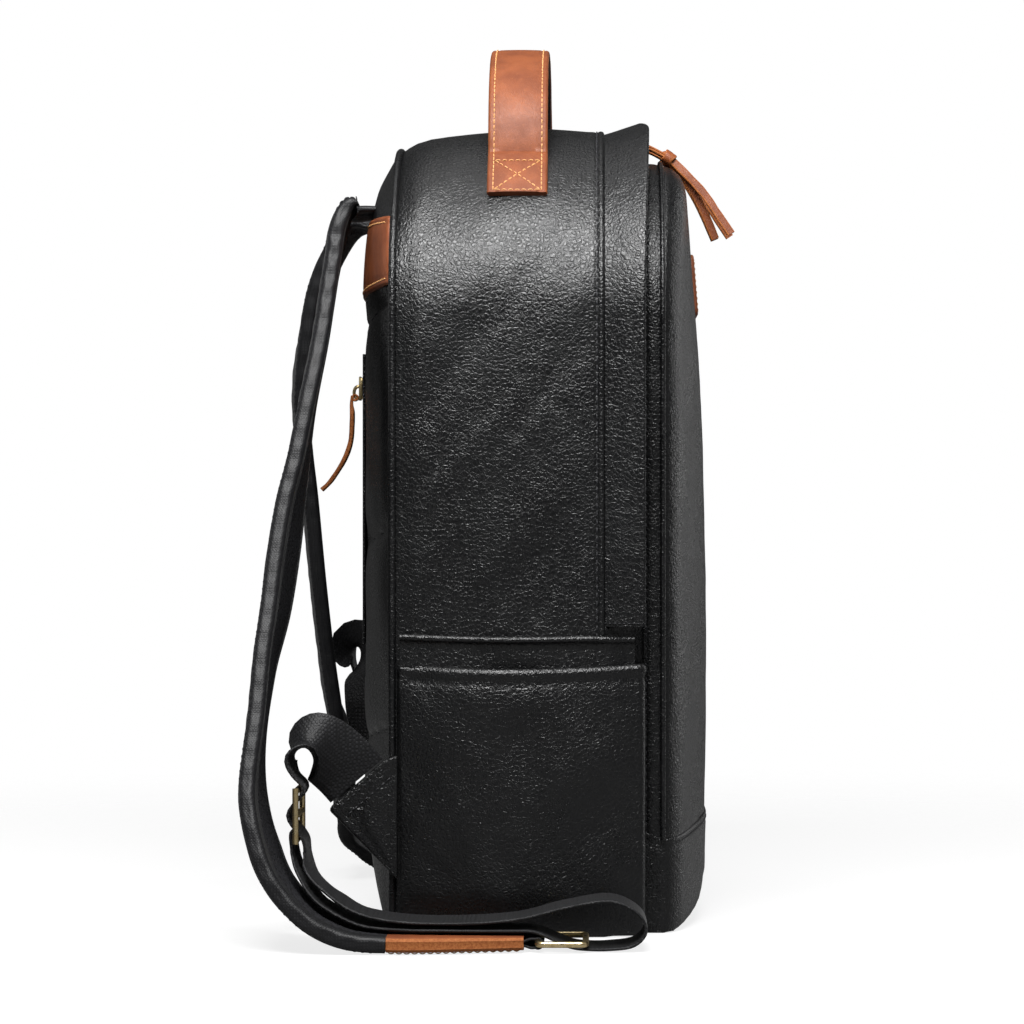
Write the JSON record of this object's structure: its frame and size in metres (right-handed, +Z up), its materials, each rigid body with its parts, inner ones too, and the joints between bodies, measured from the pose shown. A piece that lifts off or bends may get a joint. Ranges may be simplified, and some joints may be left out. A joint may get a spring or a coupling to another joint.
{
  "type": "leather backpack",
  "caption": "Rounded-top leather backpack with fold-down zipped front, side pockets, padded straps with webbing and rings, and a tan top handle.",
  "frame": {"origin": "on the flat base at the middle of the width, below the middle of the body", "axes": "+Z up, -Y the front with the zip pulls, +Y the padded back with the shoulder straps"},
  "size_m": [0.4612, 0.2553, 0.4763],
  "materials": {
    "black_leather": "pebbled grain, soft sheen",
    "tan_leather": "smooth oiled, raw cut edges",
    "brass": "brushed antique",
    "lining": "plain woven lining",
    "foam": "soft closed-cell padding",
    "webbing": "flat woven webbing",
    "strap_cloth": "satin woven cloth with stitched edges",
    "strap_mesh": "spacer mesh",
    "zip_tape": "woven tape with moulded teeth"
  },
  "bodies": {
    "bag": {"main_gusset": "black_leather", "base_panel": "black_leather", "base_board": "lining", "corner_gussets": "black_leather", "zip_hood": "black_leather", "rear_zip_tape": "zip_tape", "back_panel": "black_leather", "back_foam": "foam", "back_yoke": "tan_leather", "back_piping": "black_leather", "front_gusset_lower": "black_leather", "front_panel_lower": "black_leather", "front_bumper": "black_leather", "front_piping_lower": "black_leather", "back_zip_tape": "zip_tape", "handle_leather": "tan_leather", "handle_lining": "lining", "pocket_left": "black_leather", "pocket_back_left": "black_leather", "pocket_right": "black_leather", "pocket_back_right": "black_leather", "laptop_sleeve": "lining", "laptop_foam": "foam", "webbing_left": "webbing", "strap_slide_left": "brass", "anchor_tab_left": "black_leather", "webbing_right": "webbing", "strap_slide_right": "brass", "anchor_tab_right": "black_leather"},
    "front_section": {"front_gusset_upper": "black_leather", "front_panel_upper": "black_leather", "front_piping_upper": "black_leather", "front_zip_tape": "zip_tape", "organiser_pocket": "lining", "front_patch": "tan_leather"},
    "slider_left": {"zip_slider_left": "brass"},
    "pull_left": {"zip_pull_left": "tan_leather"},
    "slider_right": {"zip_slider_right": "brass"},
    "pull_right": {"zip_pull_right": "tan_leather"},
    "back_slider": {"back_zip_slider": "brass"},
    "back_pull": {"back_zip_pull": "tan_leather"},
    "strap_left": {"strap_cover_left": "strap_cloth", "strap_foam_left": "foam", "strap_mesh_left": "strap_mesh", "strap_tip_left": "tan_leather", "ring_keeper_left": "webbing"},
    "ring_left": {"strap_ring_left": "brass"},
    "strap_right": {"strap_cover_right": "strap_cloth", "strap_foam_right": "foam", "strap_mesh_right": "strap_mesh", "strap_tip_right": "tan_leather", "ring_keeper_right": "webbing"},
    "ring_right": {"strap_ring_right": "brass"}
  },
  "joints": [
    {"name": "front_open", "type": "hinge", "parent": "bag", "child": "front_section", "pos_m": [0, -0.0925, 0.16], "axis": [1, 0, 0], "range_deg": [0, 70]},
    {"name": "slider_left_turn", "type": "hinge", "parent": "front_section", "child": "slider_left", "pos_m": [-0.045, 0, 0.322], "axis": [0, -1, 0], "range_deg": [0, 90]},
    {"name": "pull_left_swing", "type": "hinge", "parent": "slider_left", "child": "pull_left", "pos_m": [-0.045, -0.04861, 0.41841], "axis": [-1, 0, 0], "range_deg": [0, 55]},
    {"name": "slider_right_slide", "type": "slide", "parent": "front_section", "child": "slider_right", "axis": [1, 0, 0], "range_m": [0, 0.07]},
    {"name": "pull_right_swing", "type": "hinge", "parent": "slider_right", "child": "pull_right", "pos_m": [-0.029, -0.04861, 0.41841], "axis": [-1, 0, 0], "range_deg": [0, 55]},
    {"name": "back_slider_slide", "type": "slide", "parent": "bag", "child": "back_slider", "axis": [0, 0, -1], "range_m": [0, 0.12]},
    {"name": "back_pull_swing", "type": "hinge", "parent": "back_slider", "child": "back_pull", "pos_m": [-0.05, 0.09958, 0.281], "axis": [1, 0, 0], "range_deg": [0, 60]},
    {"name": "strap_left_swing", "type": "hinge", "parent": "bag", "child": "strap_left", "pos_m": [-0.06, 0.098, 0.38], "axis": [1, 0, 0], "range_deg": [0, 25], "deforming": ["webbing_left"]},
    {"name": "ring_left_fold", "type": "hinge", "parent": "strap_left", "child": "ring_left", "pos_m": [-0.196, -0.0021, 0.0042], "axis": [-1, 0, 0], "range_deg": [0, 60]},
    {"name": "strap_right_swing", "type": "hinge", "parent": "bag", "child": "strap_right", "pos_m": [0.06, 0.098, 0.3815], "axis": [1, 0, 0], "range_deg": [0, 25], "deforming": ["webbing_right"]},
    {"name": "ring_right_fold", "type": "hinge", "parent": "strap_right", "child": "ring_right", "pos_m": [0.204, -0.0071, 0.0042], "axis": [-1, 0, 0], "range_deg": [0, 60]}
  ]
}
